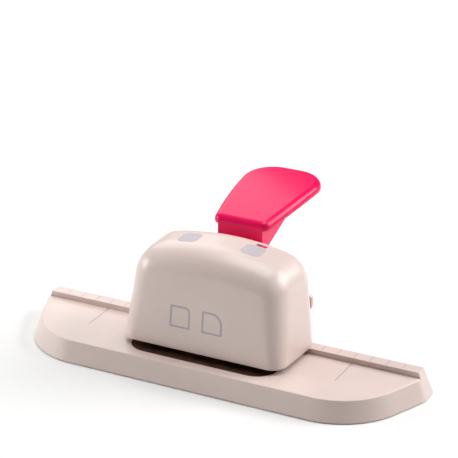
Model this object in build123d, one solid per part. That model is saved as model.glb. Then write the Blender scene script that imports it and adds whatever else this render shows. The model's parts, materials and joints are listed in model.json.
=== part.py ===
"""Corner rounder for paper and card: a lever-operated punch head on a long ruler tray.

The parts are laid out from the paper fence: X runs along it from its middle, Y points away
from the user, and Z is the height above the table. Each part is then moved by ORIGIN_Y, so
that the origin of the finished frame lies on the table under the middle of the whole object.
All sizes are in millimetres.
"""

import math
import os

from build123d import *

ORIGIN_Y = 18.15  # from the fence back to the middle of the object, front to back

# ---- Base ---------------------------------------------------------------------------------
SKIRT_GAP = 0.6  # table to the lower edge of the base
TRAY_TOP = 12.6  # table to the paper surface
FENCE_H = 3.3  # fence above the paper surface
FENCE_TOP = TRAY_TOP + FENCE_H
FENCE_DEPTH = 7.6  # ruler strip, front to back, at its top
FRONT_Y = -48.0  # front edge of the paper surface
END_X = 121.6  # half length of the paper surface at the fence
END_TILT = 22.3  # degrees that each end leans in towards the front
END_CORNER_Y = -2.0
FRONT_CORNER_R = 40.0
END_CORNER_R = 10.0
BASE_DRAFT = 20.5  # degrees, front and ends
REAR_DRAFT = 8.0
WALL = 2.4

HEEL_HALF_X = 43.0  # heel behind the head, which keeps the tool from tipping back
HEEL_REAR_Y = 27.0
HEEL_REAR_Z = 7.0
HEEL_CORNER_R = 12.0

RIB_X = (-100.0, -75.0, 75.0, 100.0)  # stiffening ribs under the tray
TICK_PITCH = 10.0
TICKS_EACH_SIDE = 12
TICK_W = 0.5
TICK_DEEP = 0.25
GUIDE_LINE_X = 80.0
GUIDE_LINE_Y = (-24.0, -2.6)
GUIDE_DOT_R = 0.9

# ---- Cover, door and grip strips -----------------------------------------------------------
COVER_LOW = 2.0
COVER_T = 2.0
COVER_TOP = COVER_LOW + COVER_T
COVER_GAP = 0.25
DOOR_HALF_X = 31.0
DOOR_Y = (-31.0, 8.0)
DOOR_GAP = 0.4
DOOR_T = 1.6
DOOR_PIN_R = 1.0
DOOR_PIN_Y = DOOR_Y[0] + 2.4
DOOR_PIN_Z = COVER_LOW + 2.2
DOOR_RIB_X = 4.5
DOOR_NOTCH = (12.0, 2.4)  # width and depth behind the pin, round the middle screw post
STRIP_INSET = 0.8
FRONT_STRIP = (150.0, 7.0, -41.5)  # length, width, centre Y
REAR_STRIP = (44.0, 9.0, 18.0)
SIDE_FEET = (104.0, -3.0, 5.0)  # X, Y, radius
COVER_SCREWS = [(-112.0, -8.0), (112.0, -8.0), (-62.0, -36.0), (62.0, -36.0)]
COVER_SCREWS += [(-33.0, 16.0), (33.0, 16.0)]

# ---- Punch unit ----------------------------------------------------------------------------
PLATE_HALF_X = 46.4
PLATE_FRONT_Y = -41.2
PLATE_REAR_Y = 6.6
PLATE_CORNER_R = 13.0
POCKET_FLOOR_Z = 8.7
PLATE_GAP = 0.15
DIE_T = 2.0
DIE_TOP = TRAY_TOP - 0.1
PAPER_GAP = 1.3  # thickest stack that slides in
GUIDE_T = 2.0
GUIDE_FRONT_Y = -31.0
GUIDE_LOW = DIE_TOP + PAPER_GAP
GUIDE_TOP = GUIDE_LOW + GUIDE_T
STOP_HALF_X = 12.0  # side stops on the central tongue
STOP_FRONT_Y = -30.0
RADIUS_SMALL = 5.0
RADIUS_LARGE = 10.0
OVERRUN = 2.0  # cutter past each stop
CUT_CLEAR = 0.05
CUTTER_LIFT = 0.15  # cutting edge above the paper gap at rest
UNIT_SCREWS = [(-40.0, 3.3), (40.0, 3.3), (0.0, -26.5), (0.0, -12.0)]

# ---- Carrier, posts and springs ------------------------------------------------------------
STATION_Y = -5.0
POST_X = 34.0
POST_R = 3.0
POST_TOP = 48.0
BUSH_R = 5.0
BUSH_CLEAR = 0.05
CARRIER_HALF_X = 40.5
CARRIER_HALF_Y = 6.0
CARRIER_LOW = 29.6
CARRIER_T = 6.0
POCKET_X = 24.0  # round pockets that save weight
SPRING_WIRE_R = 0.5
SPRING_R = 4.7
SPRING_TURNS = 5
CLIP_T = 0.8
CLIP_R = 5.2

# ---- Lever ---------------------------------------------------------------------------------
PIVOT_Y = -22.5
PIVOT_Z = 44.6
AXLE_R = 2.5
AXLE_CLEAR = 0.05
AXLE_HALF_X = 21.5
HUB_R = 4.5
HUB_HALF_X = 16.2
NOSE_R = 5.0
NOSE_HALF_X = 8.0
ARM_HALF_X = 14.5
ARM_TOP = [(-22.5, 49.1), (-10.0, 58.5), (4.0, 65.0), (16.0, 67.0)]  # Y, Z from hub to stem
ARM_BOTTOM = [(46.5, 72.0), (26.0, 63.7), (9.0, 57.0), (-1.0, 49.0), (-12.0, 42.0)]
ARM_WALL = 2.4
PAD_FRONT_Y = 15.5
PAD_REAR_Y = 88.8
PAD_HALF_X = (17.3, 23.7, 25.6)  # at the front, in the middle and at the rear
PAD_FRONT_TOP = 79.8
PAD_SLOPE = 6.1  # mean rise to the rear, degrees
PAD_ARCH_R = 600.0
PAD_T = 4.6
PAD_SKIN = 1.8
PAD_FRONT_R = 5.0
PAD_REAR_R = 19.0
PAD_EDGE_R = 4.1

# ---- Steel frame ---------------------------------------------------------------------------
CHEEK_X = (16.5, 18.5)
CHEEK_Y = (-28.0, -17.5)
CHEEK_TOP = PIVOT_Z + 4.6
FLANGE_X = 29.5
FLANGE_T = 1.6
FRAME_SCREWS = [(24.5, -25.2), (24.5, -20.2)]
FRAME_SCREW_R = 1.0

# ---- Housing -------------------------------------------------------------------------------
HOUSING_LOW = FENCE_TOP
HOUSING_FRONT = (-36.0, 51.4)  # Y, half width at the lower edge
HOUSING_REAR = (10.5, 53.4)
HOUSING_CORNER_R = (9.0, 14.0)  # at the lower edge and at the top
HOUSING_SIDE_DRAFT = 4.0
HOUSING_FRONT_DRAFT = 7.0
HOUSING_REAR_DRAFT = -4.0
HOUSING_TOP = TRAY_TOP + 62.0
CROWN_R = 170.0
TOP_EDGE_R = 12.5
SHELL = 2.4
LEVER_SLOT_HALF_X = 16.2
LEVER_SLOT_Z = (49.5, 67.5)
WINDOW = (21.6, 0.9, 6.8, 2.8)  # centre X, centre Y, length, width
HOUSING_SCREWS = [(-49.4, 3.6), (49.4, 3.6)]

# ---- Lever lock ----------------------------------------------------------------------------
LOCK_TRAVEL = 2.2
LOCK_BAR_Z = (PIVOT_Z + 10.8, PIVOT_Z + 12.0)
LOCK_BAR_Y = (-3.0, 5.4)
LOCK_LEG_X = (37.5, 41.0)
LOCK_LEG_Y = (3.2, 5.4)
LOCK_TIP_X = 20.1
KNOB_X = 44.5
KNOB_Z = 38.2
KNOB_HALF = (3.6, 4.6)  # along X and along Z
KNOB_STEM_HALF = 2.0
KNOB_Y = (12.6, 15.8)
FLAG_LENGTH = 4.0
FLAG_Y = (-0.2, 1.9)
FLAG_TOP = HOUSING_TOP - 1.75
FIN = ((14.0, 19.6), (-3.6, -0.2), (PIVOT_Z + 12.4, PIVOT_Z + 14.0))

# ---- Screws --------------------------------------------------------------------------------
SCREW_R = 1.25
SCREW_HOLE_R = 1.35
SCREW_HEAD_R = 2.6
SCREW_HEAD_H = 2.0
SCREW_SEAT_Z = 5.4  # lower end of the screw posts
SCREW_SEAT = SCREW_SEAT_Z + SCREW_HEAD_H
UNIT_POST_R = 4.2
COVER_POST_R = 3.2
COVER_SCREW_R = 1.0
COVER_SCREW_L = 5.0
WELL_X = (8.0, 27.0)
WELL_Y = (-22.0, 4.0)
RIM_R = 1.0


def box(x, y, z):
    """A box from (low, high) pairs."""
    size = [pair[1] - pair[0] for pair in (x, y, z)]
    middle = [(pair[0] + pair[1]) / 2 for pair in (x, y, z)]
    return Pos(*middle) * Box(*size)


def both(value):
    """The pair (-value, value)."""
    return (-value, value)


def rod(x, y, z, radius):
    """A vertical cylinder at x, y between the two heights in z."""
    return Pos(x, y, (z[0] + z[1]) / 2) * Cylinder(radius, z[1] - z[0])


def cross_rod(x, y, z, radius):
    """A cylinder along X between the two values in x, at y, z."""
    length = x[1] - x[0]
    return Pos((x[0] + x[1]) / 2, y, z) * Rot(0, 90, 0) * Cylinder(radius, length)


def side_prism(points, half_x):
    """A prism symmetric about X = 0 from (y, z) points."""
    outline = Polyline([(0, y, z) for y, z in points], close=True)
    return extrude(make_face(outline), half_x, dir=(1, 0, 0), both=True)


def group(shapes):
    """One node made of several separate solids."""
    return Compound([solid for shape in shapes for solid in shape.solids()])


def save(name, shape):
    """Write one node, moved from the layout's frame into the finished frame."""
    solids = [solid.moved(Location((0, -ORIGIN_Y, 0))) for solid in shape.solids()]
    export_step(solids[0] if len(solids) == 1 else Compound(solids), f"parts/{name}.step")


# ---- Base ----------------------------------------------------------------------------------
def tray_outline(grow=0.0):
    """Outline at the height of the paper surface; grow moves every side outwards."""
    lean = math.tan(math.radians(END_TILT))
    rear = 20.0
    corner_x = END_X - (END_CORNER_Y - FRONT_Y) * lean
    right = [(END_X - 0.6, rear), (END_X, END_CORNER_Y), (corner_x, FRONT_Y)]
    left = [(-x, y) for x, y in reversed(right)]
    sketch = make_face(Polyline(right + left, close=True))
    ends = sketch.vertices().filter_by(lambda v: abs(v.Y - END_CORNER_Y) < 0.1)
    sketch = fillet(ends, END_CORNER_R)
    fronts = sketch.vertices().filter_by(lambda v: abs(v.Y - FRONT_Y) < 0.1)
    sketch = fillet(fronts, FRONT_CORNER_R)
    return offset(sketch, grow) if grow else sketch


def drafted_body(inset, low, high):
    """Body of the base between two heights, inset from its outer walls."""
    slope = math.tan(math.radians(BASE_DRAFT))
    grow = (TRAY_TOP - low) * slope - inset
    blank = extrude(Pos(0, 0, low) * tray_outline(grow), high - low, taper=BASE_DRAFT)
    rear_slope = math.tan(math.radians(REAR_DRAFT))
    top_y = FENCE_DEPTH - (high - FENCE_TOP) * rear_slope - inset
    low_y = top_y + (high - low) * rear_slope
    keep = [(-80, low), (low_y, low), (top_y, high), (-80, high)]
    return blank & side_prism(keep, 140)


def heel_body(inset, low):
    """Heel behind the head, sloping down to the rear."""
    top = FENCE_TOP - inset
    rear = HEEL_REAR_Y - inset
    half = HEEL_HALF_X - inset
    corners = [(-half, -4), (half, -4), (half, rear), (-half, rear)]
    sketch = make_face(Polyline(corners, close=True))
    rears = sketch.vertices().filter_by(lambda v: v.Y > 0)
    sketch = fillet(rears, HEEL_CORNER_R - inset)
    side = [(-5, low), (rear + 1, low), (rear + 1, HEEL_REAR_Z - inset), (12, top), (-5, top)]
    return extrude(Pos(0, 0, low) * sketch, top - low) & side_prism(side, half + 1)


def ribs_under_tray():
    """Stiffening ribs and the screw posts that the bottom cover is fixed to."""
    low = COVER_TOP
    high = TRAY_TOP - WALL + 0.2
    parts = []
    for x in RIB_X:
        parts.append(box((x - 0.8, x + 0.8), (-50, 12), (low + 2.0, high)))
    for x, y in COVER_SCREWS:
        parts.append(rod(x, y, (low, high), COVER_POST_R))
    for x, y in UNIT_SCREWS:
        parts.append(rod(x, y, (SCREW_SEAT_Z, high), UNIT_POST_R))
    for x, y in HOUSING_SCREWS:
        parts.append(rod(x, y, (SCREW_SEAT_Z, high), UNIT_POST_R))
    return parts


def chip_well():
    """Walls that lead the chips down to the door."""
    low = COVER_TOP + 1.0
    high = TRAY_TOP - WALL + 0.2
    outer = box(both(WELL_X[1] + 1.2), (WELL_Y[0] - 1.2, WELL_Y[1] + 1.2), (low, high))
    return outer - box(both(WELL_X[1]), WELL_Y, (low - 1, high + 1))


def ruler_ticks():
    """Engraved centimetre ticks across the fence, counted from its middle."""
    cuts = []
    for i in range(-TICKS_EACH_SIDE, TICKS_EACH_SIDE + 1):
        x = i * TICK_PITCH
        if abs(x) > HOUSING_REAR[1] + 1 and abs(i) < TICKS_EACH_SIDE:
            cuts.append(
                box(
                    (x - TICK_W / 2, x + TICK_W / 2),
                    (1.0, FENCE_DEPTH + 1),
                    (FENCE_TOP - TICK_DEEP, FENCE_TOP + 1),
                )
            )
    return cuts


def guide_lines():
    """One engraved line on the paper surface each side, with a dot at its fence end."""
    cuts = []
    for x in both(GUIDE_LINE_X):
        deep = (TRAY_TOP - TICK_DEEP, TRAY_TOP + 1)
        cuts.append(box((x - TICK_W / 2, x + TICK_W / 2), GUIDE_LINE_Y, deep))
        cuts.append(rod(x, GUIDE_LINE_Y[1] + 1.0, deep, GUIDE_DOT_R))
    return cuts


def plate_outline(grow):
    """Plan of the pocket that holds the punch unit's plates, with round front corners."""
    x = PLATE_HALF_X + grow
    front_y = PLATE_FRONT_Y - grow
    rear_y = PLATE_REAR_Y + grow
    sketch = make_face(Polyline((-x, front_y), (x, front_y), (x, rear_y), (-x, rear_y), close=True))
    fronts = sketch.vertices().filter_by(lambda v: v.Y < 0)
    return fillet(fronts, PLATE_CORNER_R + grow)


def base_tray():
    body = drafted_body(0, SKIRT_GAP, FENCE_TOP) + heel_body(0, SKIRT_GAP)
    body -= box(both(140), (-80, 0), (TRAY_TOP, FENCE_TOP + 1))
    hollow = drafted_body(WALL, SKIRT_GAP - 1, TRAY_TOP - WALL)
    hollow += heel_body(WALL, SKIRT_GAP - 1)
    body -= hollow
    inside = drafted_body(WALL - 0.3, COVER_TOP, TRAY_TOP - WALL + 0.3)
    inside += heel_body(WALL - 0.3, COVER_TOP)
    body += [solid & inside for solid in ribs_under_tray()]
    floor_t = TRAY_TOP - WALL + 0.2 - POCKET_FLOOR_Z
    body += extrude(Pos(0, 0, POCKET_FLOOR_Z) * plate_outline(2.0), floor_t) & inside
    body += chip_well()

    body -= extrude(Pos(0, 0, DIE_TOP - DIE_T) * plate_outline(0), 20)
    for side in (-1, 1):
        well_x = sorted((side * WELL_X[0], side * WELL_X[1]))
        body -= box(well_x, WELL_Y, (POCKET_FLOOR_Z - 1, TRAY_TOP))
    for x, y in UNIT_SCREWS + HOUSING_SCREWS:
        body -= rod(x, y, (0, 30), SCREW_HOLE_R)
        body -= rod(x, y, (0, SCREW_SEAT_Z + SCREW_HEAD_H), SCREW_HEAD_R + 0.3)
    for x, y in COVER_SCREWS:
        body -= rod(x, y, (0, COVER_TOP + COVER_SCREW_L), COVER_SCREW_R)
    body -= ruler_ticks()
    body -= guide_lines()
    rim = body.edges().filter_by(
        lambda e: abs(e.center().Z - TRAY_TOP) < 0.01
        and (e.center().Y < -47.5 or abs(e.center().X) > 100)
        and e.center().Y < -4
    )
    return fillet(rim, RIM_R)


# ---- Cover, door and grip strips -----------------------------------------------------------
def cover_outline(inset):
    """Plan of the bottom opening of the base, inset from its walls."""
    slope = math.tan(math.radians(BASE_DRAFT))
    blank = extrude(tray_outline((TRAY_TOP - COVER_LOW) * slope - WALL - inset), COVER_T)
    rear_slope = math.tan(math.radians(REAR_DRAFT))
    rear = FENCE_DEPTH + (FENCE_TOP - COVER_TOP) * rear_slope - WALL - inset
    blank &= box(both(140), (-80, rear), (-1, 10))
    half = HEEL_HALF_X - WALL - inset
    corners = [(-half, -4), (half, -4), (half, HEEL_REAR_Y - WALL - inset)]
    corners.append((-half, HEEL_REAR_Y - WALL - inset))
    sketch = make_face(Polyline(corners, close=True))
    rears = sketch.vertices().filter_by(lambda v: v.Y > 0)
    heel = extrude(fillet(rears, HEEL_CORNER_R - WALL - inset), COVER_T)
    return Pos(0, 0, COVER_LOW) * (blank + heel)


def bottom_cover():
    cover = cover_outline(COVER_GAP + 0.9)
    cover -= box(both(DOOR_HALF_X), DOOR_Y, (0, 10))
    # Hinge ears each side of the door's front edge
    for side in (-1, 1):
        cover += cross_rod(
            sorted((side * (DOOR_HALF_X + 0.2), side * (DOOR_HALF_X + 4.2))),
            DOOR_PIN_Y,
            DOOR_PIN_Z,
            DOOR_PIN_R + 1.3,
        ) & box(both(60), (-60, 60), (COVER_LOW, 20))
    cover -= cross_rod(both(DOOR_HALF_X + 4.5), DOOR_PIN_Y, DOOR_PIN_Z, DOOR_PIN_R)
    for length, width, middle in (FRONT_STRIP, REAR_STRIP):
        groove = (middle - width / 2, middle + width / 2)
        cover -= box(both(length / 2), groove, (0, COVER_LOW + STRIP_INSET))
    for x in both(SIDE_FEET[0]):
        cover -= rod(x, SIDE_FEET[1], (0, COVER_LOW + STRIP_INSET), SIDE_FEET[2])
    for x, y in COVER_SCREWS:
        cover -= rod(x, y, (0, 10), COVER_SCREW_R + 0.15)
        cover -= rod(x, y, (0, COVER_LOW + 1.0), COVER_SCREW_R * 2 + 0.2)
    for x, y in UNIT_SCREWS + HOUSING_SCREWS:
        cover -= rod(x, y, (0, 10), SCREW_HEAD_R + 0.6)
    return cover


def chip_door():
    width = both(DOOR_HALF_X - DOOR_GAP)
    rear_y = DOOR_Y[1] - DOOR_GAP
    door = box(width, (DOOR_PIN_Y, rear_y), (COVER_LOW, COVER_LOW + DOOR_T))
    door += cross_rod(width, DOOR_PIN_Y, DOOR_PIN_Z, DOOR_PIN_Z - COVER_LOW)
    door -= box(both(DOOR_NOTCH[0] / 2), (-60, DOOR_PIN_Y + DOOR_NOTCH[1]), (0, 20))
    for x in both(DOOR_RIB_X):
        rib_y = (DOOR_PIN_Y + 4, rear_y - 2)
        door += box((x - 0.6, x + 0.6), rib_y, (COVER_LOW, COVER_LOW + DOOR_T + 1.0))
    door -= cross_rod(both(DOOR_HALF_X + 5), DOOR_PIN_Y, DOOR_PIN_Z, DOOR_PIN_R + 0.06)
    return door - rod(0, rear_y + 2.0, (0, COVER_LOW + DOOR_T + 2), 6.0)


def door_pin():
    return cross_rod(both(DOOR_HALF_X + 4.0), DOOR_PIN_Y, DOOR_PIN_Z, DOOR_PIN_R)


def grip_strip(length, width, middle):
    """Rubber strip under the cover; the tool stands on two of these and two round feet."""
    high = COVER_LOW + STRIP_INSET
    strip = box(both(length / 2), (middle - width / 2, middle + width / 2), (0, high))
    return chamfer(strip.edges().group_by(Axis.Z)[0], 0.4)


def side_feet():
    x, y, radius = SIDE_FEET
    foot = rod(0, y, (0, COVER_LOW + STRIP_INSET), radius)
    foot = chamfer(foot.edges().group_by(Axis.Z)[0], 0.4)
    return group(Pos(side, 0, 0) * foot for side in both(x))


# ---- Punch unit ----------------------------------------------------------------------------
def cutter_prism(side, radius, z, grow=0.0):
    """Column whose inner face is the rounded corner; side is -1 for left, 1 for right."""
    inner = STOP_HALF_X - OVERRUN - grow
    outer = STOP_HALF_X + radius + 0.5 + grow
    rear = OVERRUN + grow
    front = -radius - 0.5 - grow
    column = box((inner, outer), (front, rear), z)
    middle_z = (z[0] - 1, z[1] + 1)
    column -= rod(STOP_HALF_X + radius, -radius, middle_z, radius - grow)
    column -= box((STOP_HALF_X + radius, outer + 1), (front - 1, -grow), middle_z)
    column -= box((STOP_HALF_X + grow, outer + 1), (front - 1, -radius), middle_z)
    return column if side > 0 else mirror(column, Plane.YZ)


STATIONS = [("small", -1, RADIUS_SMALL), ("large", 1, RADIUS_LARGE)]


def cutter_openings(z, grow):
    return [cutter_prism(side, radius, z, grow) for _, side, radius in STATIONS]


def die_plate():
    z = (DIE_TOP - DIE_T, DIE_TOP)
    plate = extrude(Pos(0, 0, z[0]) * plate_outline(-PLATE_GAP), DIE_T)
    plate -= cutter_openings((z[0] - 1, z[1] + 1), CUT_CLEAR)
    for x, y in UNIT_SCREWS:
        plate -= rod(x, y, (0, 30), SCREW_HOLE_R)
    return plate


def spacer_stop():
    """Sets the paper gap; its edges carry on the fence and make the two side stops."""
    z = (DIE_TOP, GUIDE_LOW)
    plate = box(both(PLATE_HALF_X - 0.2), (0, PLATE_REAR_Y - 0.2), z)
    plate += box(both(STOP_HALF_X), (STOP_FRONT_Y, 0.1), z)
    plate -= cutter_openings((z[0] - 1, z[1] + 1), 0.2)
    for x, y in UNIT_SCREWS:
        plate -= rod(x, y, (0, 30), SCREW_HOLE_R)
    return plate


def guide_plate():
    z = (GUIDE_LOW, GUIDE_TOP)
    plate = box(both(PLATE_HALF_X - 0.2), (GUIDE_FRONT_Y, PLATE_REAR_Y - 0.2), z)
    plate = fillet(plate.edges().filter_by(Axis.Z).group_by(Axis.Y)[0], 4.0)
    lead_in = plate.edges().filter_by(
        lambda e: abs(e.center().Z - GUIDE_LOW) < 0.01 and abs(e.center().Y - GUIDE_FRONT_Y) < 0.01
    )
    plate = chamfer(lead_in, 0.9)
    z = (GUIDE_LOW - 1, GUIDE_TOP + 1)
    plate -= cutter_openings(z, CUT_CLEAR)
    for x, y in UNIT_SCREWS:
        plate -= rod(x, y, z, SCREW_R)
    for side in (-1, 1):
        plate -= rod(side * POST_X, STATION_Y, z, POST_R)
        for x, y in FRAME_SCREWS:
            plate -= rod(side * x, y, z, FRAME_SCREW_R)
    return plate


def corner_punch(side, radius):
    z = (GUIDE_LOW + CUTTER_LIFT, CARRIER_LOW)
    return cutter_prism(side, radius, z)


# ---- Carrier, posts and springs ------------------------------------------------------------
def punch_carrier():
    z = (CARRIER_LOW, CARRIER_LOW + CARRIER_T)
    bar = box(both(CARRIER_HALF_X), (STATION_Y - CARRIER_HALF_Y, OVERRUN + 0.6), z)
    bar = fillet(bar.edges().filter_by(Axis.Z), 3.0)
    boss_top = PIVOT_Z - NOSE_R - 0.15
    bar += box(both(9.0), (STATION_Y - 4.5, STATION_Y + 4.5), (z[0], boss_top))
    for side in (-1, 1):
        bar -= rod(side * POST_X, STATION_Y, (z[0] - 1, z[1] + 1), BUSH_R)
        bar -= rod(side * POCKET_X, STATION_Y, (z[1] - 2.5, z[1] + 1), 2.6)
    return bar


def guide_bushes():
    z = (CARRIER_LOW, CARRIER_LOW + CARRIER_T + 0.8)
    tube = rod(0, STATION_Y, z, BUSH_R) - rod(0, STATION_Y, (z[0] - 1, z[1] + 1), POST_R + BUSH_CLEAR)
    return group(Pos(side * POST_X, 0, 0) * tube for side in (-1, 1))


def guide_post(side):
    post = rod(side * POST_X, STATION_Y, (GUIDE_LOW, POST_TOP), POST_R)
    return chamfer(post.edges().group_by(Axis.Z)[-1], 0.6)


def post_clips():
    low = CARRIER_LOW + CARRIER_T + 0.9
    ring = rod(0, STATION_Y, (low, low + CLIP_T), CLIP_R)
    ring -= rod(0, STATION_Y, (low - 1, low + 2), POST_R)
    ring -= box(both(1.6), (STATION_Y - CLIP_R - 1, STATION_Y), (low - 1, low + 2))
    return group(Pos(side * POST_X, 0, 0) * ring for side in (-1, 1))


def return_spring(side):
    height = CARRIER_LOW - GUIDE_TOP - 2 * SPRING_WIRE_R - 0.1
    path = Helix(height / SPRING_TURNS, height, SPRING_R)
    start = Plane(origin=path @ 0, z_dir=path % 0)
    wire = sweep(start * Circle(SPRING_WIRE_R), path=path, is_frenet=True)
    return Pos(side * POST_X, STATION_Y, GUIDE_TOP + SPRING_WIRE_R + 0.05) * wire


# ---- Steel frame ---------------------------------------------------------------------------
def frame_cheek(side):
    plate = box(CHEEK_X, CHEEK_Y, (GUIDE_TOP, CHEEK_TOP))
    tops = plate.edges().filter_by(Axis.X).group_by(Axis.Z)[-1]
    plate = fillet(tops, 4.4)
    plate += box((CHEEK_X[0], FLANGE_X), CHEEK_Y, (GUIDE_TOP, GUIDE_TOP + FLANGE_T))
    plate -= cross_rod((0, 40), PIVOT_Y, PIVOT_Z, AXLE_R)
    for x, y in FRAME_SCREWS:
        plate -= rod(x, y, (0, GUIDE_TOP + FLANGE_T + 1), FRAME_SCREW_R + 0.1)
    return plate if side > 0 else mirror(plate, Plane.YZ)


def frame_screws():
    screws = []
    for side in (-1, 1):
        for x, y in FRAME_SCREWS:
            shank = rod(side * x, y, (GUIDE_LOW + 0.1, GUIDE_TOP + FLANGE_T), FRAME_SCREW_R)
            head_z = (GUIDE_TOP + FLANGE_T, GUIDE_TOP + FLANGE_T + 1.3)
            head = rod(side * x, y, head_z, 1.9)
            head -= cross_slot(side * x, y, head_z[1] - 0.7, 2.4, 0.5)
            screws.append(shank + head)
    return group(screws)


def cross_slot(x, y, low, length, width):
    """Cross recess for a screw head, open upwards from its lowest point."""
    z = (low, low + 5)
    half = length / 2
    slot = box((x - half, x + half), (y - width / 2, y + width / 2), z)
    return slot + box((x - width / 2, x + width / 2), (y - half, y + half), z)


def screw_from_below(x, y, seat, tip):
    """Screw driven upwards: its head hangs below seat and its shank ends at tip."""
    screw = rod(x, y, (seat - SCREW_HEAD_H, seat), SCREW_HEAD_R)
    screw += rod(x, y, (seat, tip), SCREW_R)
    recess = cross_slot(x, y, 0, 3.0, 0.7)
    return screw - (recess & box((x - 9, x + 9), (y - 9, y + 9), (0, seat - SCREW_HEAD_H + 1.0)))


def lever_axle():
    axle = cross_rod(both(AXLE_HALF_X), PIVOT_Y, PIVOT_Z, AXLE_R)
    return chamfer(axle.edges().filter_by(GeomType.CIRCLE), 0.4)


def axle_clips():
    x = (CHEEK_X[1] + 0.1, CHEEK_X[1] + 0.9)
    ring = cross_rod(x, PIVOT_Y, PIVOT_Z, AXLE_R + 1.8) - cross_rod((0, 40), PIVOT_Y, PIVOT_Z, AXLE_R)
    ring -= box((0, 40), (PIVOT_Y - 1.2, PIVOT_Y + 1.2), (PIVOT_Z, PIVOT_Z + 6))
    return group([ring, mirror(ring, Plane.YZ)])


# ---- Housing -------------------------------------------------------------------------------
def housing_section(z, inset, corner_r):
    """Plan of the housing at height z; its sides lean in as they rise."""
    rise = z - HOUSING_LOW
    side = rise * math.tan(math.radians(HOUSING_SIDE_DRAFT)) + inset
    front_y = HOUSING_FRONT[0] + rise * math.tan(math.radians(HOUSING_FRONT_DRAFT)) + inset
    rear_y = HOUSING_REAR[0] - rise * math.tan(math.radians(HOUSING_REAR_DRAFT)) - inset
    front_x = HOUSING_FRONT[1] - side
    rear_x = HOUSING_REAR[1] - side
    corners = [(-front_x, front_y), (front_x, front_y), (rear_x, rear_y), (-rear_x, rear_y)]
    sketch = make_face(Polyline(corners, close=True))
    return Pos(0, 0, z) * fillet(sketch.vertices(), corner_r)


def housing_solid(inset, low):
    """The closed outer form of the housing, inset from its surface."""
    high = HOUSING_TOP + 2
    base = housing_section(low, inset, HOUSING_CORNER_R[0] - inset)
    top = housing_section(high, inset, HOUSING_CORNER_R[1] - inset)
    blank = loft([base, top])
    crown_z = HOUSING_TOP - CROWN_R
    crown = Pos(0, 0, crown_z) * Rot(90, 0, 0) * Cylinder(CROWN_R - inset, 200)
    solid = blank & crown
    rim = solid.edges().filter_by(
        lambda e: e.center().Z > HOUSING_TOP - 20 and e.bounding_box().size.Z < 12
    )
    return fillet(rim, TOP_EDGE_R - inset)


def housing():
    shell = housing_solid(0, HOUSING_LOW) - housing_solid(SHELL, HOUSING_LOW - 1)
    for x, y in HOUSING_SCREWS:
        boss = rod(x, y, (HOUSING_LOW, HOUSING_LOW + 14), 3.6)
        web = box(sorted((x, x * 1.06)), (y - 1, y + 1), (HOUSING_LOW, HOUSING_LOW + 14))
        shell += (boss + web) & housing_solid(SHELL - 0.4, HOUSING_LOW)
        shell -= rod(x, y, (HOUSING_LOW - 1, HOUSING_LOW + 11), SCREW_R)
    shell -= box(both(LEVER_SLOT_HALF_X), (3, 30), LEVER_SLOT_Z)
    x, y, length, width = WINDOW
    shell -= box((x - length / 2, x + length / 2), (y - width / 2, y + width / 2), (60, 90))
    stem_room = KNOB_STEM_HALF + 0.4
    knob_x = (KNOB_X - LOCK_TRAVEL - stem_room, KNOB_X + stem_room)
    shell -= box(knob_x, (5, 30), (KNOB_Z - stem_room, KNOB_Z + stem_room))
    return shell


# ---- Lever ---------------------------------------------------------------------------------
def pad_outline():
    """Plan of the pad: straight front, gently bowed sides and a broad round rear."""
    front, middle, rear = PAD_HALF_X
    middle_y = PAD_FRONT_Y + 0.55 * (PAD_REAR_Y - PAD_FRONT_Y)
    right = ThreePointArc((front, PAD_FRONT_Y), (middle, middle_y), (rear, PAD_REAR_Y))
    left = ThreePointArc((-rear, PAD_REAR_Y), (-middle, middle_y), (-front, PAD_FRONT_Y))
    ends = [Line((rear, PAD_REAR_Y), (-rear, PAD_REAR_Y))]
    ends.append(Line((-front, PAD_FRONT_Y), (front, PAD_FRONT_Y)))
    sketch = make_face([right, ends[0], left, ends[1]])
    rears = sketch.vertices().filter_by(lambda v: v.Y > middle_y)
    sketch = fillet(rears, PAD_REAR_R)
    fronts = sketch.vertices().filter_by(lambda v: v.Y < PAD_FRONT_Y + 1)
    return fillet(fronts, PAD_FRONT_R)


def arch_centre():
    """Y and Z of the axis about which the pad's top is curved."""
    half = (PAD_REAR_Y - PAD_FRONT_Y) / 2
    slope = math.radians(PAD_SLOPE)
    sag = PAD_ARCH_R - math.sqrt(PAD_ARCH_R**2 - (half / math.cos(slope)) ** 2)
    middle_y = PAD_FRONT_Y + half - sag * math.sin(slope)
    middle_z = PAD_FRONT_TOP + half * math.tan(slope) + sag * math.cos(slope)
    centre_y = middle_y + PAD_ARCH_R * math.sin(slope)
    centre_z = middle_z - PAD_ARCH_R * math.cos(slope)
    return centre_y, centre_z


def arch(drop):
    """Cylinder whose surface is the pad's top, lowered by drop."""
    return cross_rod(both(60), *arch_centre(), PAD_ARCH_R - drop)


def pad_top_z(y):
    """Height of the pad's top surface over y."""
    centre_y, centre_z = arch_centre()
    return centre_z + math.sqrt(PAD_ARCH_R**2 - (y - centre_y) ** 2)


def lever_pad():
    block = extrude(Pos(0, 0, 50) * pad_outline(), 60)
    pad = (block & arch(0)) - arch(PAD_T)
    pad &= box(both(60), (0, 100), (66, 110))
    rim = pad.edges().filter_by(lambda e: e.center().Z > pad_top_z(e.center().Y) - 0.6)
    pad = fillet(rim, PAD_EDGE_R)
    inner = extrude(Pos(0, 0, 50) * offset(pad_outline(), -PAD_SKIN), 60)
    return pad - (inner & arch(PAD_SKIN))


def front_roll():
    """What the pad's rounded front edge takes off the stem under it."""
    y = PAD_FRONT_Y + PAD_EDGE_R
    z = pad_top_z(y) - PAD_EDGE_R
    return box(both(40), (PAD_FRONT_Y - 1, y), (z, z + 20)) - cross_rod(both(40), y, z, PAD_EDGE_R - 0.3)


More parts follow.
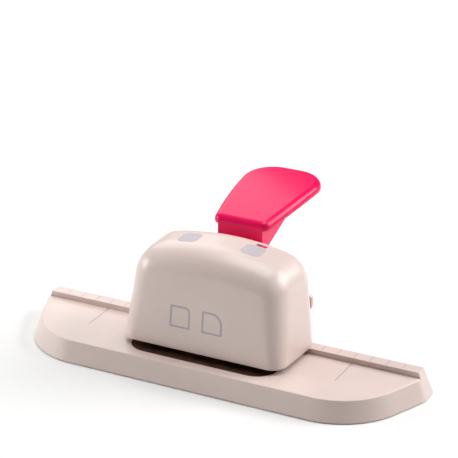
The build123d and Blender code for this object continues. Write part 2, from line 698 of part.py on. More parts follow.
def arm_profile():
    """Side view of the arm, from the hub up to the pad."""
    stem_y = ARM_TOP[-1][0]
    rear_y = ARM_BOTTOM[0][0] + 8.0
    under_pad = [(y, pad_top_z(y) - 1) for y in (stem_y, rear_y)]
    return ARM_TOP + under_pad + ARM_BOTTOM + [(PIVOT_Y, PIVOT_Z - HUB_R)]


def lever():
    profile = arm_profile()
    hollow = side_prism(profile[len(ARM_TOP) - 1 : -3], ARM_HALF_X - ARM_WALL)
    hollow &= box(both(30), (ARM_TOP[-1][0] + ARM_WALL, 90), (0, 100))
    below_skin = arch(1.0) + box(both(60), (-60, 40), (0, 75))
    arm = (side_prism(profile, ARM_HALF_X) & below_skin) - hollow - front_roll()
    solid = arm + lever_pad()
    solid += cross_rod(both(HUB_HALF_X), PIVOT_Y, PIVOT_Z, HUB_R)
    nose = cross_rod(both(NOSE_HALF_X), STATION_Y, PIVOT_Z, NOSE_R)
    solid += nose + box(both(NOSE_HALF_X), (STATION_Y - 5, STATION_Y + 5), (PIVOT_Z, PIVOT_Z + 5))
    solid += box(*FIN)
    return solid - cross_rod(both(30), PIVOT_Y, PIVOT_Z, AXLE_R + AXLE_CLEAR)


# ---- Lever lock ----------------------------------------------------------------------------
def lock_slide():
    bar = box((LOCK_TIP_X, LOCK_LEG_X[1]), LOCK_BAR_Y, LOCK_BAR_Z)
    leg = box(LOCK_LEG_X, LOCK_LEG_Y, (KNOB_Z - 4.0, LOCK_BAR_Z[1]))
    leg += box((LOCK_LEG_X[0], KNOB_X + 2.0), LOCK_LEG_Y, (KNOB_Z - 4.0, KNOB_Z + 4.0))
    flag_end = WINDOW[0] + WINDOW[2] / 2 - 0.2
    flag = box((flag_end - FLAG_LENGTH, flag_end), FLAG_Y, (LOCK_BAR_Z[0], FLAG_TOP))
    stem_z = (KNOB_Z - KNOB_STEM_HALF, KNOB_Z + KNOB_STEM_HALF)
    stem = box((KNOB_X - KNOB_STEM_HALF, KNOB_X + KNOB_STEM_HALF), (4.0, KNOB_Y[0]), stem_z)
    return bar + leg + flag + stem


def lock_knob():
    half_x, half_z = KNOB_HALF
    knob = box((KNOB_X - half_x, KNOB_X + half_x), KNOB_Y, (KNOB_Z - half_z, KNOB_Z + half_z))
    knob = fillet(knob.edges().filter_by(Axis.Y), 2.4)
    knob = fillet(knob.faces().sort_by(Axis.Y)[-1].edges(), 1.2)
    return knob


# ---- Screws --------------------------------------------------------------------------------
def unit_screws():
    return group(screw_from_below(x, y, SCREW_SEAT, GUIDE_TOP - 0.1) for x, y in UNIT_SCREWS)


def housing_screws():
    return group(screw_from_below(x, y, SCREW_SEAT, HOUSING_LOW + 10) for x, y in HOUSING_SCREWS)


def cover_screws():
    screws = []
    for x, y in COVER_SCREWS:
        seat = COVER_LOW + 1.0
        head = rod(x, y, (COVER_LOW + 0.05, seat), COVER_SCREW_R * 2)
        shank = rod(x, y, (seat, COVER_TOP + COVER_SCREW_L - 0.3), COVER_SCREW_R)
        recess = cross_slot(x, y, 0, 2.6, 0.5) & box((x - 3, x + 3), (y - 3, y + 3), (0, seat - 0.3))
        screws.append(head + shank - recess)
    return group(screws)


def main():
    os.makedirs("parts", exist_ok=True)
    save("base_tray", base_tray())
    save("bottom_cover", bottom_cover())
    save("chip_door", chip_door())
    save("door_pin", door_pin())
    save("front_grip_strip", grip_strip(*FRONT_STRIP))
    save("rear_grip_strip", grip_strip(*REAR_STRIP))
    save("side_feet", side_feet())
    save("die_plate", die_plate())
    save("spacer_stop", spacer_stop())
    save("guide_plate", guide_plate())
    for name, side, radius in STATIONS:
        save(f"corner_punch_{name}", corner_punch(side, radius))
    save("punch_carrier", punch_carrier())
    save("guide_bushes", guide_bushes())
    save("post_clips", post_clips())
    for name, side in (("left", -1), ("right", 1)):
        save(f"guide_post_{name}", guide_post(side))
        save(f"return_spring_{name}", return_spring(side))
        save(f"frame_cheek_{name}", frame_cheek(side))
    save("frame_screws", frame_screws())
    save("lever_axle", lever_axle())
    save("axle_clips", axle_clips())
    save("lever", lever())
    save("lock_slide", lock_slide())
    save("lock_knob", lock_knob())
    save("housing", housing())
    save("unit_screws", unit_screws())
    save("housing_screws", housing_screws())
    save("cover_screws", cover_screws())


main()
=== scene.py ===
"""Looks of the corner rounder: finished meshes, procedural materials, studio and camera."""

import json
import math

import bmesh
import bpy
from mathutils import Matrix, Vector

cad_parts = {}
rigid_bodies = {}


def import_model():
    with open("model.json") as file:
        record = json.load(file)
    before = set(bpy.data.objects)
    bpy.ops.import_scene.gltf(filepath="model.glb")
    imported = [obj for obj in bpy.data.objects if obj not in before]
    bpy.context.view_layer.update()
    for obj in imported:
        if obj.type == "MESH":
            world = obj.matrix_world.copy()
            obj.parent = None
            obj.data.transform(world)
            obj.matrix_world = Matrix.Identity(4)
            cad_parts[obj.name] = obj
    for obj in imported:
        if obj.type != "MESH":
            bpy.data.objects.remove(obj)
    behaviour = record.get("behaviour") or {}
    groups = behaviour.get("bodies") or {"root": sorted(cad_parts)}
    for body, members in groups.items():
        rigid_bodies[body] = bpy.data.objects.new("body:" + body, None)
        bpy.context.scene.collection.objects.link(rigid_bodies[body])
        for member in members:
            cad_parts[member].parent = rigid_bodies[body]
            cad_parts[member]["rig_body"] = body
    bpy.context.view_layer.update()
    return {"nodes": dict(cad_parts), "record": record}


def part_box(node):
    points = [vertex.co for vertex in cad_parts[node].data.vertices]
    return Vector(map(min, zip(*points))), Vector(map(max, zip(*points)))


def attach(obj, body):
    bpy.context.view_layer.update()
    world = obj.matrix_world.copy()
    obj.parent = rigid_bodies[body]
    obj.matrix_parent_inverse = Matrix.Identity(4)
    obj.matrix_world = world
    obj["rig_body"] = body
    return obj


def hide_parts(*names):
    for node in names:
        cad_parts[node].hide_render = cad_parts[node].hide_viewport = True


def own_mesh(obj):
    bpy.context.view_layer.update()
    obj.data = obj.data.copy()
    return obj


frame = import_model()

MM = 0.001

# ---- Housing, millimetres -----------------------------------------------------------------
FRONT_HALF = 51.4
REAR_HALF = 53.4
HOUSING_DEPTH = 46.5
SIDE_DRAFT = math.tan(math.radians(4.0))
FRONT_DRAFT = math.tan(math.radians(7.0))
REAR_DRAFT = math.tan(math.radians(-4.0))
CORNER_R = (9.5, 15.0)  # at the lower edge and at the top
TOP_EDGE_R = 14.5
FRONT_ROLL = 1.2  # the top edge is this much deeper at the front than at the sides
CROWN_R = 170.0
SHELL = 2.4
CORNER_POWER = 2.2  # 2 is a circular arc; more is fuller
FRONT_STEPS = 26
SIDE_STEPS = 8
CORNER_STEPS = 12
WALL_STEPS = 12
EDGE_STEPS = 14
CAP_STEPS = 5
CAP_HALF_X = 22.0  # half length of the crown's middle line
LEVER_SLOT = (16.2, 12.0, (49.5, 67.5), 1.5)  # half width, reach, heights, corner radius
KNOB_SLOT = (2.4, 8.0, 0.8)  # room round the knob, reach, corner radius
WINDOW = (21.6, 0.9, 3.4, 1.4, 10.0, 0.5)  # X, Y from the fence, half sizes, reach, corner radius

# ---- Marks on the housing, millimetres ------------------------------------------------------
TOP_MARK_X = 20.3
TOP_MARK_Y = -7.1  # behind the fence's front face
TOP_MARK = (12.6, 12.8, 3.6)  # width, depth, corner radius
MARK_T = 0.08
ICON_X = (-13.0, 7.5)
ICON_Z = 35.5
ICON_SIZE = 13.0
ICON_STROKE = 1.1
ICON_RADII = (3.2, 7.0)

# ---- Guide lines on the paper surface, millimetres ---------------------------------------------
LINE_X = 80.0
LINE_Y = (-24.0, -2.6)  # from the fence's front face
LINE_Z = 12.6
LINE_W = 0.7
DOT_R = 0.95

INLAY_DEEP = 0.25
DOT_AHEAD = 1.0  # the dot's centre, past the line's fence end

# ---- Ruler ticks on the fence, millimetres -----------------------------------------------------
TICK_PITCH = 10.0
TICKS = range(6, 12)  # divisions from the middle that the housing leaves free
TICK_Y = (1.1, 7.4)
TICK_Z = 15.9
TICK_W = 0.5

FENCE_Y = -18.15  # the fence's front face in the frame


# ---- Mesh helpers -----------------------------------------------------------------------------
def new_object(name, bm):
    mesh = bpy.data.meshes.new(name)
    bm.to_mesh(mesh)
    bm.free()
    piece = bpy.data.objects.new(name, mesh)
    bpy.context.scene.collection.objects.link(piece)
    return piece


def shade(piece, angle=32.0):
    """Smooth shading with sharp edges where two faces meet at more than angle degrees."""
    bm = bmesh.new()
    bm.from_mesh(piece.data)
    limit = math.radians(angle)
    for face in bm.faces:
        face.smooth = True
    for edge in bm.edges:
        edge.smooth = len(edge.link_faces) == 2 and edge.calc_face_angle(0) < limit
    bm.to_mesh(piece.data)
    bm.free()


def apply_modifiers(piece):
    """Replaces the mesh by what its modifiers make of it."""
    graph = bpy.context.evaluated_depsgraph_get()
    mesh = bpy.data.meshes.new_from_object(piece.evaluated_get(graph))
    piece.modifiers.clear()
    piece.data = mesh


def bevel(piece, width_mm, segments=2, angle=35.0):
    """Rounds every edge sharper than angle degrees."""
    modifier = piece.modifiers.new("edges", "BEVEL")
    modifier.width = width_mm * MM
    modifier.segments = segments
    modifier.limit_method = "ANGLE"
    modifier.angle_limit = math.radians(angle)
    modifier.use_clamp_overlap = True
    modifier.harden_normals = False
    apply_modifiers(piece)


def even_normals(piece):
    """Lets large faces decide the shading, so that flat regions stay flat beside their bevels."""
    modifier = piece.modifiers.new("normals", "WEIGHTED_NORMAL")
    modifier.keep_sharp = True
    modifier.weight = 50
    apply_modifiers(piece)


def block(name, low, high, round_mm=0.0, segments=3):
    """A box between two corners, with all its edges rounded."""
    bm = bmesh.new()
    bmesh.ops.create_cube(bm, size=1.0)
    size = [b - a for a, b in zip(low, high)]
    middle = [(a + b) / 2 for a, b in zip(low, high)]
    place = Matrix.Translation(middle) @ Matrix.Diagonal((*size, 1.0))
    bmesh.ops.transform(bm, matrix=place, verts=bm.verts)
    if round_mm:
        bmesh.ops.bevel(
            bm,
            geom=list(bm.edges),
            offset=round_mm * MM,
            segments=segments,
            profile=0.5,
            affect="EDGES",
        )
    return new_object(name, bm)


def cut(piece, cutters):
    """Takes the cutters' shapes out of piece and removes the cutters."""
    for cutter in cutters:
        modifier = piece.modifiers.new("cut", "BOOLEAN")
        modifier.operation = "DIFFERENCE"
        modifier.solver = "EXACT"
        modifier.object = cutter
    apply_modifiers(piece)
    for cutter in cutters:
        bpy.data.objects.remove(cutter)


def joint(name):
    """The record's entry for one joint."""
    joints = frame["record"]["behaviour"]["joints"]
    return next(entry for entry in joints if entry["name"] == name)


def refined(node, width_mm, segments=2):
    """A copy of a CAD node with flat regions merged and its sharp edges rounded."""
    source = frame["nodes"][node]
    bm = bmesh.new()
    bm.from_mesh(source.data)
    bmesh.ops.remove_doubles(bm, verts=bm.verts, dist=1e-6)
    bmesh.ops.dissolve_limit(
        bm, angle_limit=math.radians(0.4), verts=bm.verts, edges=bm.edges, use_dissolve_boundaries=False
    )
    piece = new_object(node + "_finished", bm)
    bevel(piece, width_mm, segments)
    shade(piece)
    even_normals(piece)
    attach(piece, source["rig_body"])
    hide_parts(node)
    return piece


# ---- Housing ----------------------------------------------------------------------------------
def corner_points(radius, steps):
    """A quarter of a superellipse, from (radius, 0) to (0, radius)."""
    points = []
    for i in range(steps + 1):
        angle = math.pi / 2 * i / steps
        x = math.cos(angle) ** (2 / CORNER_POWER)
        y = math.sin(angle) ** (2 / CORNER_POWER)
        points.append((radius * x, radius * y))
    return points


def outline(front_x, rear_x, front_y, rear_y, radius):
    """Closed plan outline with rounded corners, counter-clockwise from the front left."""
    half = (front_x + rear_x) / 2
    arc = corner_points(radius, CORNER_STEPS)
    points = []
    for i in range(1, FRONT_STEPS):
        points.append((-(half - radius) + 2 * (half - radius) * i / FRONT_STEPS, front_y))
    points += [(half - radius + y, front_y + radius - x) for x, y in arc]
    low, high = front_y + radius, rear_y - radius
    for i in range(1, SIDE_STEPS):
        points.append((half, low + (high - low) * i / SIDE_STEPS))
    points += [(half - radius + x, rear_y - radius + y) for x, y in arc]
    for i in range(1, FRONT_STEPS):
        points.append((half - radius - 2 * (half - radius) * i / FRONT_STEPS, rear_y))
    points += [(-(half - radius) - y, rear_y - radius + x) for x, y in arc]
    for i in range(1, SIDE_STEPS):
        points.append((-half, high - (high - low) * i / SIDE_STEPS))
    points += [(-(half - radius) - x, front_y + radius - y) for x, y in arc]
    span = rear_y - front_y
    return [(x / half * (front_x + (rear_x - front_x) * (y - front_y) / span), y) for x, y in points]


def housing_rings(low, front, top, inset):
    """Rings from the lower edge up the walls and over the crown to its middle line."""
    edge_r = TOP_EDGE_R - inset
    crown_z = top - inset

    def ring(height, shrink):
        rise = height - low
        share = rise / (top - low)
        radius = CORNER_R[0] + (CORNER_R[1] - CORNER_R[0]) * share - inset - shrink
        side = rise * SIDE_DRAFT + inset + shrink
        return outline(
            FRONT_HALF - side,
            REAR_HALF - side,
            front + rise * FRONT_DRAFT + inset + shrink * FRONT_ROLL,
            front + HOUSING_DEPTH - rise * REAR_DRAFT - inset - shrink,
            max(radius, 0.6),
        )

    def crown(x):
        return crown_z - CROWN_R + math.sqrt(CROWN_R**2 - x**2)

    rings = []
    for i in range(WALL_STEPS + 1):
        share = i / WALL_STEPS
        points = ring(low + (crown_z - edge_r - low) * share, 0.0)
        rings.append([(x, y, low + (crown(x) - edge_r - low) * share) for x, y in points])
    for across, up in corner_points(edge_r, EDGE_STEPS)[1:]:
        points = ring(crown_z - edge_r + up, edge_r - across)
        rings.append([(x, y, crown(x) - edge_r + up) for x, y in points])
    last = rings[-1]
    middle_y = sum(y for _, y, _ in last) / len(last)
    for i in range(1, CAP_STEPS + 1):
        share = i / CAP_STEPS
        points = []
        for x, y, _ in last:
            flat_x = max(-CAP_HALF_X, min(CAP_HALF_X, x))
            inner_x = x + (flat_x - x) * share
            points.append((inner_x, y + (middle_y - y) * share, crown(inner_x)))
        rings.append(points)
    return rings


def add_rings(bm, rings, flip):
    """Quads between neighbouring rings; returns the first ring's vertices."""
    rows = [[bm.verts.new([value * MM for value in point]) for point in ring] for ring in rings]
    count = len(rows[0])
    for lower, upper in zip(rows, rows[1:]):
        for i in range(count):
            j = (i + 1) % count
            corners = [lower[i], lower[j], upper[j], upper[i]]
            bm.faces.new(reversed(corners) if flip else corners)
    return rows[0]


def housing():
    low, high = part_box("housing")
    bottom, front, top = low.z / MM, low.y / MM, high.z / MM
    bm = bmesh.new()
    outer = add_rings(bm, housing_rings(bottom, front, top, 0.0), flip=False)
    inner = add_rings(bm, housing_rings(bottom, front, top, SHELL), flip=True)
    for i in range(len(outer)):
        j = (i + 1) % len(outer)
        bm.faces.new([outer[j], outer[i], inner[i], inner[j]])
    bmesh.ops.remove_doubles(bm, verts=bm.verts, dist=0.01 * MM)
    bmesh.ops.recalc_face_normals(bm, faces=bm.faces)
    piece = new_object("housing_shell", bm)
    cut(piece, housing_cutters())
    bevel(piece, 0.35, 2, angle=50.0)
    shade(piece, 40.0)
    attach(piece, "base")
    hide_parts("housing")
    return piece


def housing_cutters():
    """The lever's slot and the knob's slot at the rear, and the window in the top."""
    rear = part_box("housing")[1].y
    half, reach, heights, corner = LEVER_SLOT
    slot = block(
        "lever_slot",
        (-half * MM, rear - reach * MM, heights[0] * MM),
        (half * MM, rear + reach * MM, heights[1] * MM),
        corner,
    )
    knob_low, knob_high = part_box("lock_knob")
    knob_z = (knob_low.z + knob_high.z) / 2
    knob_x = (knob_low.x + knob_high.x) / 2
    travel = joint("lock_travel")["range_m"][1]
    room, reach, corner = KNOB_SLOT
    knob = block(
        "knob_slot",
        (knob_x - travel - room * MM, knob_low.y - reach * MM, knob_z - room * MM),
        (knob_x + room * MM, knob_high.y, knob_z + room * MM),
        corner,
    )
    flag_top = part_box("lock_slide")[1].z
    x, y, half_x, half_y, reach, corner = WINDOW
    window_x, window_y = x * MM, FENCE_Y * MM + y * MM
    window = block(
        "window",
        (window_x - half_x * MM, window_y - half_y * MM, flag_top - reach * MM),
        (window_x + half_x * MM, window_y + half_y * MM, flag_top + reach * MM),
        corner,
    )
    return [slot, knob, window]


# ---- Springs ----------------------------------------------------------------------------------
def spring(name, turns=5.5, wire_r=0.5, steps=28, sides=10):
    """A compression spring in the place of the CAD one, with flattened end turns."""
    low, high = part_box(name)
    middle_x, middle_y = (low.x + high.x) / 2, (low.y + high.y) / 2
    wire = wire_r * MM
    radius = (high.x - low.x) / 2 - wire
    count = int(turns * steps)
    centres = []
    for i in range(count + 1):
        angle = 2 * math.pi * i / steps
        share = i / count
        rise = share - math.sin(2 * math.pi * share) / (2 * math.pi) * 0.45
        z = low.z + wire + (high.z - low.z - 2 * wire) * rise
        centres.append(Vector((middle_x + radius * math.cos(angle), middle_y + radius * math.sin(angle), z)))
    bm = bmesh.new()
    rows = []
    for i, centre in enumerate(centres):
        ahead = centres[min(i + 1, count)] - centres[max(i - 1, 0)]
        outward = Vector((centre.x - middle_x, centre.y - middle_y, 0)).normalized()
        up = outward.cross(ahead.normalized()).normalized()
        row = []
        for k in range(sides):
            turn = 2 * math.pi * k / sides
            row.append(bm.verts.new(centre + wire * (math.cos(turn) * outward + math.sin(turn) * up)))
        rows.append(row)
    for lower, upper in zip(rows, rows[1:]):
        for k in range(sides):
            j = (k + 1) % sides
            bm.faces.new([lower[k], lower[j], upper[j], upper[k]])
    bm.faces.new(rows[0])
    bm.faces.new(rows[-1])
    bmesh.ops.recalc_face_normals(bm, faces=bm.faces)
    piece = new_object(name + "_coil", bm)
    shade(piece, 50.0)
    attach(piece, "base")
    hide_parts(name)
    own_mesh(piece)
    return piece


# ---- Marks ------------------------------------------------------------------------------------
def rounded_plan(width, depth, radii, steps=8):
    """Outline centred on the origin; radii are those of the four corners from the front right."""
    corners = [(1, -1), (1, 1), (-1, 1), (-1, -1)]
    starts = [-90, 0, 90, 180]
    points = []
    for (side, end), start, radius in zip(corners, starts, radii):
        cx = side * (width / 2 - radius)
        cy = end * (depth / 2 - radius)
        for i in range(steps + 1):
            angle = math.radians(start + 90 * i / steps)
            points.append((cx + radius * math.cos(angle), cy + radius * math.sin(angle)))
    return points


def top_mark(name, x):
    """A soft grey touch point that follows the crown."""
    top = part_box("housing")[1].z / MM
    bm = bmesh.new()
    rows = []
    for share, lift in ((1.0, -0.7), (1.0, MARK_T * 0.5), (0.96, MARK_T), (0.6, MARK_T), (0.25, MARK_T)):
        row = []
        for px, py in rounded_plan(*TOP_MARK[:2], [TOP_MARK[2]] * 4):
            wx = x + px * share
            z = top - CROWN_R + math.sqrt(CROWN_R**2 - wx**2) + lift
            row.append(bm.verts.new((wx * MM, (FENCE_Y + TOP_MARK_Y + py * share) * MM, z * MM)))
        rows.append(row)
    for lower, upper in zip(rows, rows[1:]):
        for i in range(len(lower)):
            j = (i + 1) % len(lower)
            bm.faces.new([lower[i], lower[j], upper[j], upper[i]])
    bm.faces.new(rows[-1])
    bm.faces.new(list(reversed(rows[0])))
    piece = new_object(name, bm)
    shade(piece, 60.0)
    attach(piece, "base")
    return piece


def corner_icon(name, x, radius):
    """A printed sheet outline with one rounded corner, on the housing's sloping front."""
    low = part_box("housing")[0]
    outer = rounded_plan(ICON_SIZE, ICON_SIZE, (0.3, radius, 0.3, 0.3))
    inner_size = ICON_SIZE - 2 * ICON_STROKE
    inner = rounded_plan(inner_size, inner_size, (0.2, radius - ICON_STROKE, 0.2, 0.2))
    lean = math.atan(FRONT_DRAFT)
    bottom = low.z / MM
    front = low.y / MM
    bm = bmesh.new()
    rows = []
    for points, lift in ((inner, -0.02), (inner, 0.04), (outer, 0.04), (outer, -0.02)):
        row = []
        for px, pz in points:
            z = ICON_Z + pz * math.cos(lean)
            y = front + (z - bottom) * FRONT_DRAFT - lift
            row.append(bm.verts.new(((x + px) * MM, y * MM, z * MM)))
        rows.append(row)
    for first, second in zip(rows, rows[1:] + rows[:1]):
        for i in range(len(first)):
            j = (i + 1) % len(first)
            bm.faces.new([first[i], first[j], second[j], second[i]])
    bmesh.ops.recalc_face_normals(bm, faces=bm.faces)
    piece = new_object(name, bm)
    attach(piece, "base")
    return piece


def add_inlay(bm, plan, x, y, top):
    """Ink with the given plan in an engraved line whose edges lie at height top."""
    rows = []
    for z, share in ((top - INLAY_DEEP, 1.0), (top + 0.01, 1.0), (top + 0.03, 0.9)):
        rows.append([bm.verts.new(((x + px * share) * MM, (y + py) * MM, z * MM)) for px, py in plan])
    for lower, upper in zip(rows, rows[1:]):
        for i in range(len(lower)):
            j = (i + 1) % len(lower)
            bm.faces.new([lower[i], lower[j], upper[j], upper[i]])
    bm.faces.new(rows[-1])
    bm.faces.new(list(reversed(rows[0])))


def inked(name, bm):
    """Makes a printed piece that stays with the base."""
    piece = new_object(name, bm)
    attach(piece, "base")
    return piece


def bar_plan(width, length):
    return rounded_plan(width, length, [width * 0.45] * 4)


def guide_line(name, x):
    """Ink in an engraved guide line and in the dot at its fence end."""
    bm = bmesh.new()
    middle_y = FENCE_Y + (LINE_Y[0] + LINE_Y[1]) / 2
    add_inlay(bm, bar_plan(LINE_W, LINE_Y[1] - LINE_Y[0]), x, middle_y, LINE_Z)
    dot = rounded_plan(2 * DOT_R, 2 * DOT_R, [DOT_R * 0.99] * 4)
    add_inlay(bm, dot, x, FENCE_Y + LINE_Y[1] + DOT_AHEAD, LINE_Z)
    return inked(name, bm)


def ruler_ticks(name, side):
    """Ink in the engraved centimetre ticks of one half of the fence."""
    bm = bmesh.new()
    plan = bar_plan(TICK_W, TICK_Y[1] - TICK_Y[0])
    for count in TICKS:
        add_inlay(bm, plan, side * count * TICK_PITCH, FENCE_Y + (TICK_Y[0] + TICK_Y[1]) / 2, TICK_Z)
    return inked(name, bm)


# ---- Materials --------------------------------------------------------------------------------
class Material:
    """A node material with one principled shader and textures in object space."""

    def __init__(self, name):
        self.material = bpy.data.materials.new(name)
        self.material.use_nodes = True
        self.tree = self.material.node_tree
        self.shader = self.tree.nodes["Principled BSDF"]
        self.place = self.tree.nodes.new("ShaderNodeTexCoord").outputs["Object"]

    def set(self, **values):
        for key, value in values.items():
            self.shader.inputs[key.replace("_", " ")].default_value = value

    def node(self, kind, **settings):
        made = self.tree.nodes.new(kind)
        for key, value in settings.items():
            if hasattr(made, key):
                setattr(made, key, value)
            else:
                made.inputs[key].default_value = value
        return made

    def link(self, source, target):
        self.tree.links.new(source, target)

    def stretched(self, scale):
        mapping = self.node("ShaderNodeMapping")
        mapping.inputs["Scale"].default_value = scale
        self.link(self.place, mapping.inputs["Vector"])
        return mapping.outputs["Vector"]

    def noise(self, scale, detail=4.0, roughness=0.5, vector=None):
        made = self.node("ShaderNodeTexNoise")
        made.inputs["Scale"].default_value = scale
        made.inputs["Detail"].default_value = detail
        made.inputs["Roughness"].default_value = roughness
        self.link(vector or self.place, made.inputs["Vector"])
        return made.outputs["Fac"]

    def cells(self, scale):
        made = self.node("ShaderNodeTexVoronoi")
        made.inputs["Scale"].default_value = scale
        self.link(self.place, made.inputs["Vector"])
        return made.outputs["Distance"]

    def ramp(self, value, stops):
        made = self.node("ShaderNodeValToRGB")
        ramp = made.color_ramp
        for i, (position, color) in enumerate(stops):
            stop = ramp.elements[i] if i < 2 else ramp.elements.new(position)
            stop.position = position
            stop.color = (*color, 1.0)
        self.link(value, made.inputs["Fac"])
        return made.outputs["Color"]

    def spread(self, value, low, high):
        made = self.node("ShaderNodeMapRange")
        made.inputs["From Min"].default_value = 0.3
        made.inputs["From Max"].default_value = 0.7
        made.inputs["To Min"].default_value = low
        made.inputs["To Max"].default_value = high
        self.link(value, made.inputs["Value"])
        return made.outputs["Result"]

    def bump(self, height, depth_mm, strength=0.5, under=None):
        made = self.node("ShaderNodeBump")
        made.inputs["Strength"].default_value = strength
        made.inputs["Distance"].default_value = depth_mm * MM
        self.link(height, made.inputs["Height"])
        if under is not None:
            self.link(under, made.inputs["Normal"])
        return made.outputs["Normal"]

    def finish(self, color=None, rough=None, normal=None):
        if color is not None:
            self.link(color, self.shader.inputs["Base Color"])
        if rough is not None:
            self.link(rough, self.shader.inputs["Roughness"])
        if normal is not None:
            self.link(normal, self.shader.inputs["Normal"])
        return self.material


def tint(color, factor):
    return tuple(min(1.0, value * factor) for value in color)


def moulded_plastic(name, color, rough, grain_mm, depth_mm, coat, reflection=0.5):
    """Injection-moulded plastic: faint flow mottling, fine tool texture and uneven gloss."""
    m = Material(name)
    flow = m.noise(38.0, 3.0)
    grain = m.noise(1 / (grain_mm * MM), 2.0)
    waves = m.noise(90.0, 2.0)
    m.set(Coat_Weight=coat, Coat_Roughness=0.12, Specular_IOR_Level=reflection)
    shades = m.ramp(flow, [(0.3, tint(color, 0.975)), (0.7, tint(color, 1.015))])
    soft = m.bump(waves, 0.02, 0.25)
    return m.finish(shades, m.spread(grain, rough - 0.04, rough + 0.05), m.bump(grain, depth_mm, 0.35, soft))


def machined_steel(name, color, rough, lay):
    """Ground or plated steel: fine lines along the grinding direction and a few dull patches."""
    m = Material(name)
    lines = m.noise(1.0, 3.0, 0.6, m.stretched(lay))
    patches = m.noise(160.0, 4.0)
    m.set(Metallic=1.0)
    shades = m.ramp(patches, [(0.3, tint(color, 0.82)), (0.75, tint(color, 1.1))])
    return m.finish(shades, m.spread(patches, rough - 0.07, rough + 0.1), m.bump(lines, 0.006, 0.4))


def cast_metal(name, color, rough):
    """Die-cast metal: pebbled skin with small pores."""
    m = Material(name)
    skin = m.noise(1400.0, 5.0, 0.6)
    pores = m.cells(900.0)
    m.set(Metallic=1.0)
    shades = m.ramp(pores, [(0.03, tint(color, 0.55)), (0.2, color)])
    return m.finish(shades, m.spread(skin, rough - 0.08, rough + 0.1), m.bump(skin, 0.03, 0.5))


def elastomer(name, color):
    """Matt rubber with a fine pebble texture and dusty high spots."""
    m = Material(name)
    pebble = m.cells(1300.0)
    dust = m.noise(220.0, 5.0, 0.65)
    shades = m.ramp(dust, [(0.35, color), (0.8, tint(color, 1.9))])
    return m.finish(shades, m.spread(dust, 0.68, 0.85), m.bump(pebble, 0.04, 0.5))


def printed_ink(name, color):
    """Pad-printed ink: thin, matt and slightly uneven."""
    m = Material(name)
    cover = m.noise(700.0, 4.0)
    shades = m.ramp(cover, [(0.3, tint(color, 0.94)), (0.7, tint(color, 1.05))])
    return m.finish(shades, m.spread(cover, 0.42, 0.56), m.bump(cover, 0.006, 0.3))


CREAM = (0.80, 0.655, 0.605)
PINK = (0.90, 0.008, 0.115)
LINES_ALONG_X = (60.0, 2600.0, 2600.0)
LINES_AROUND_Z = (700.0, 700.0, 2600.0)

SLOT_MATERIALS = {
    "cream_abs": moulded_plastic("cream_abs_plastic", CREAM, 0.34, 0.5, 0.012, 0.2),
    "pink_abs": moulded_plastic("pink_abs_plastic", PINK, 0.22, 0.6, 0.005, 0.1, 0.2),
    "grey_plastic": moulded_plastic("grey_abs_plastic", (0.23, 0.22, 0.23), 0.52, 0.35, 0.03, 0.0),
    "grip_rubber": elastomer("grip_rubber_black", (0.018, 0.018, 0.02)),
    # Dark steel of the die plate and the other dark steel parts. The dark colour is partly the steel's own
    # dark finish. Its warm brown tint is painted shade, standing in for cream plastic in deep shadow under
    # the housing.
    "dark_steel": machined_steel("steel_brown_tinted_as_painted_shade", (0.22, 0.125, 0.085), 0.42, LINES_ALONG_X),
    "plated_steel": machined_steel("zinc_plated_steel", (0.62, 0.62, 0.64), 0.27, LINES_AROUND_Z),
    "cast_zinc": cast_metal("die_cast_zinc", (0.5, 0.5, 0.52), 0.42),
    "bronze": cast_metal("sintered_bronze", (0.50, 0.32, 0.13), 0.38),
}
INK = printed_ink("lilac_grey_ink", (0.49, 0.45, 0.49))
LINE_INK = printed_ink("grey_line_ink", (0.46, 0.39, 0.39))
TICK_INK = printed_ink("tan_tick_ink", (0.56, 0.44, 0.38))
TOUCH = printed_ink("lilac_grey_touch_point", (0.56, 0.50, 0.53))


def dress(piece, material):
    piece.data.materials.clear()
    piece.data.materials.append(material)


# ---- Build ------------------------------------------------------------------------------------
EDGE_MM = {
    "base_tray": 0.3,
    "bottom_cover": 0.2,
    "chip_door": 0.25,
    "front_grip_strip": 0.3,
    "rear_grip_strip": 0.3,
    "side_feet": 0.25,
    "die_plate": 0.12,
    "spacer_stop": 0.1,
    "guide_plate": 0.15,
    "guide_post_left": 0.15,
    "guide_post_right": 0.15,
    "post_clips": 0.08,
    "frame_cheek_left": 0.2,
    "frame_cheek_right": 0.2,
    "frame_screws": 0.1,
    "lever_axle": 0.15,
    "axle_clips": 0.08,
    "unit_screws": 0.12,
    "housing_screws": 0.12,
    "cover_screws": 0.08,
    "corner_punch_small": 0.05,
    "corner_punch_large": 0.05,
    "punch_carrier": 0.3,
    "guide_bushes": 0.12,
    "door_pin": 0.15,
    "lever": 0.3,
    "lock_slide": 0.1,
    "lock_knob": 0.8,
}

slots = {part["node"]: part["material_slot"] for part in frame["record"]["subparts"]}
for node, width in EDGE_MM.items():
    dress(refined(node, width), SLOT_MATERIALS[slots[node]])
dress(housing(), SLOT_MATERIALS["cream_abs"])
for node in ("return_spring_left", "return_spring_right"):
    dress(spring(node), SLOT_MATERIALS["plated_steel"])
for side, x in (("left", -TOP_MARK_X), ("right", TOP_MARK_X)):
    dress(top_mark("touch_point_" + side, x), TOUCH)
for size, x, radius in zip(("small", "large"), ICON_X, ICON_RADII):
    dress(corner_icon("radius_icon_" + size, x, radius), INK)
for side, x in (("left", -LINE_X), ("right", LINE_X)):
    dress(guide_line("guide_line_" + side, x), LINE_INK)
    dress(ruler_ticks("ruler_ticks_" + side, math.copysign(1, x)), TICK_INK)
for node, piece in frame["nodes"].items():
    dress(piece, SLOT_MATERIALS[slots[node]])

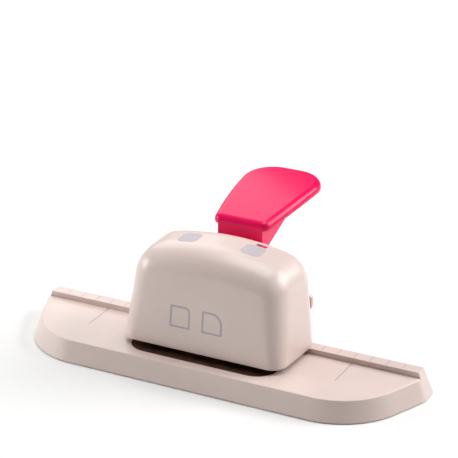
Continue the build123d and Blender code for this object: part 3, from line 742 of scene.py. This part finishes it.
# ---- Studio -----------------------------------------------------------------------------------
FLOOR_SIZE = 12.0
CAMERA_TARGET = Vector((0.0063, -0.0282, 0.0848))
CAMERA_AZIMUTH = 27.32
CAMERA_ELEVATION = 22.76
CAMERA_DISTANCE = 1.0967
CAMERA_LENS = 152.57
WORLD_COLOR = (1.0, 1.0, 1.0)
WORLD_STRENGTH = 0.03
# name, azimuth from +X towards +Y, elevation, distance, size, watts, colour
LIGHTS = [
    ("top", 90.0, 80.0, 1.6, 1.2, 18.4, (1.0, 1.0, 1.0)),
    ("rear_right", 40.0, 30.0, 1.6, 0.9, 17.6, (1.0, 1.0, 1.0)),
    ("rear_left", 135.0, 32.0, 1.6, 0.9, 5.0, (1.0, 1.0, 1.0)),
    ("left", 200.0, 15.0, 1.6, 0.6, 8.6, (1.0, 1.0, 1.0)),
    ("low_left", 212.0, 6.0, 1.6, 0.9, 4.2, (1.0, 1.0, 1.0)),
    ("glint_left", 178.0, 12.0, 1.6, 0.12, 2.0, (1.0, 1.0, 1.0)),
    ("glint_right", 18.0, 42.0, 1.6, 0.12, 1.8, (1.0, 1.0, 1.0)),
]


def direction(azimuth, elevation):
    a, e = math.radians(azimuth), math.radians(elevation)
    return Vector((math.cos(a) * math.cos(e), math.sin(a) * math.cos(e), math.sin(e)))


def floor():
    bm = bmesh.new()
    bmesh.ops.create_grid(bm, x_segments=24, y_segments=24, size=FLOOR_SIZE / 2)
    piece = new_object("studio_floor", bm)
    m = Material("pale_paper_floor")
    fibres = m.noise(420.0, 5.0)
    tone = m.noise(1.5, 2.0)
    shades = m.ramp(tone, [(0.3, (0.90, 0.90, 0.895)), (0.7, (0.92, 0.92, 0.915))])
    dress(piece, m.finish(shades, m.spread(fibres, 0.82, 0.92), m.bump(fibres, 0.02, 0.2)))


def light(name, azimuth, elevation, distance, size, watts, color):
    data = bpy.data.lights.new(name, "AREA")
    data.shape = "SQUARE"
    data.size = size
    data.energy = watts
    data.color = color
    lamp = bpy.data.objects.new(name, data)
    bpy.context.scene.collection.objects.link(lamp)
    away = direction(azimuth, elevation)
    lamp.location = CAMERA_TARGET + away * distance
    lamp.rotation_euler = away.to_track_quat("Z", "Y").to_euler()


def world():
    made = bpy.data.worlds.new("studio_world")
    made.use_nodes = True
    background = made.node_tree.nodes["Background"]
    background.inputs["Color"].default_value = (*WORLD_COLOR, 1.0)
    background.inputs["Strength"].default_value = WORLD_STRENGTH
    bpy.context.scene.world = made


def camera():
    data = bpy.data.cameras.new("camera")
    data.lens = CAMERA_LENS
    data.sensor_width = 36.0
    data.clip_end = 30.0
    made = bpy.data.objects.new("camera", data)
    bpy.context.scene.collection.objects.link(made)
    away = direction(CAMERA_AZIMUTH - 90.0, CAMERA_ELEVATION)
    made.location = CAMERA_TARGET + away * CAMERA_DISTANCE
    made.rotation_euler = away.to_track_quat("Z", "Y").to_euler()
    bpy.context.scene.camera = made


floor()
for settings in LIGHTS:
    light(*settings)
world()
camera()
bpy.context.scene.view_settings.view_transform = "Standard"
